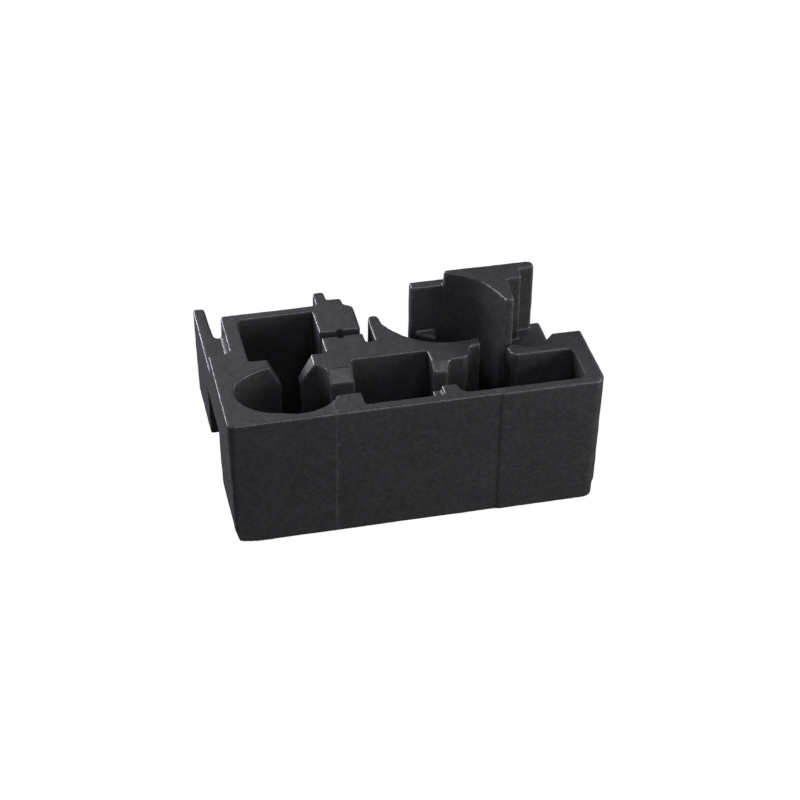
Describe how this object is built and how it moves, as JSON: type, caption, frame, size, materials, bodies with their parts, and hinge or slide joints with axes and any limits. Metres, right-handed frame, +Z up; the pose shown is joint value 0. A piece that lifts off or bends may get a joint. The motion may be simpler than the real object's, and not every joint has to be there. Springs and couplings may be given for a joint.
{
  "type": "moulded foam insert tray",
  "caption": "Rigid moulded foam insert tray with deep pockets, a tool channel, two curved horns and one tall curved support.",
  "frame": {"origin": "centre of the bounding box, on the base", "axes": "+X to the right along the front face, +Y to the rear, +Z up"},
  "size_m": [0.407, 0.2574, 0.2149],
  "materials": {
    "foam": "satin bead foam"
  },
  "bodies": {
    "root": {"left_block": "foam", "centre_block": "foam", "right_block": "foam", "tall_support": "foam"}
  },
  "joints": []
}
